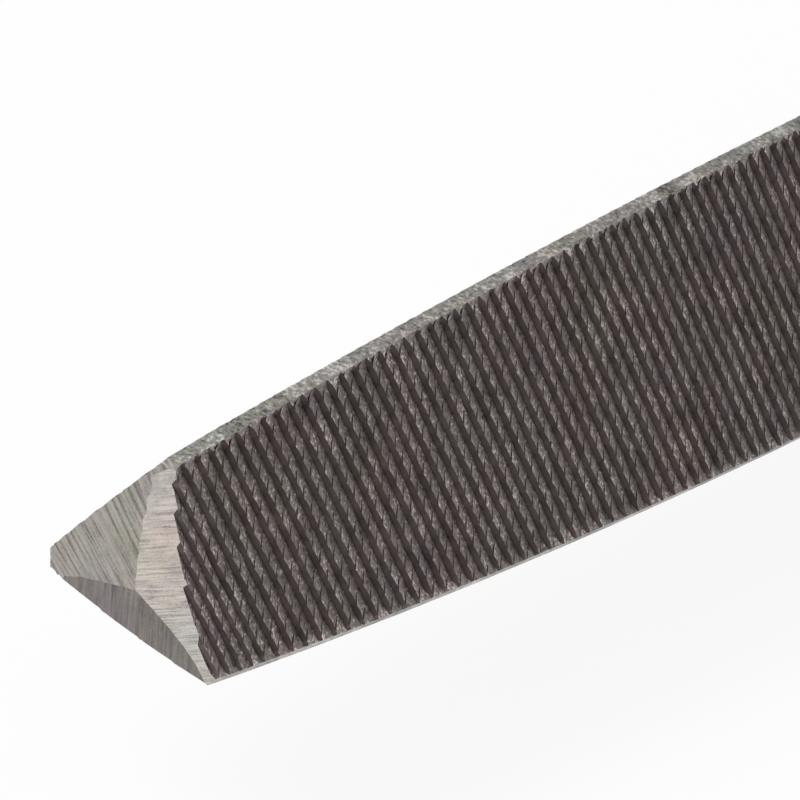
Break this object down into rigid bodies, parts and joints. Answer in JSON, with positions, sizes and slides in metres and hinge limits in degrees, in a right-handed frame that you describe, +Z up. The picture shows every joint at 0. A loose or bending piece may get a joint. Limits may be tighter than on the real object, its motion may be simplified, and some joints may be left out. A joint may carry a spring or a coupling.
{
  "type": "triangular hand file",
  "caption": "Three-square hand file: a toothed triangular steel blade with a ground end and a tang, in a turned wooden handle with a steel ferrule.",
  "frame": {"origin": "centre of the ferrule's mouth, on the file's axis", "axes": "+X along the file from the handle to the tip, +Z up; one blade face looks down and one blade edge points up"},
  "size_m": [0.3251, 0.0286, 0.0286],
  "materials": {
    "blade_steel": "hardened, scrubbed tooth faces, bright ground edges and end",
    "ferrule_steel": "satin drawn tube",
    "handle_wood": "clear lacquer, satin"
  },
  "bodies": {
    "blade": {"file_blade": "blade_steel"},
    "handle": {"handle": "handle_wood", "ferrule": "ferrule_steel"}
  },
  "joints": [
    {"name": "handle_pull_off", "type": "slide", "parent": "blade", "child": "handle", "axis": [-1, 0, 0], "range_m": [0, 0.052]}
  ]
}
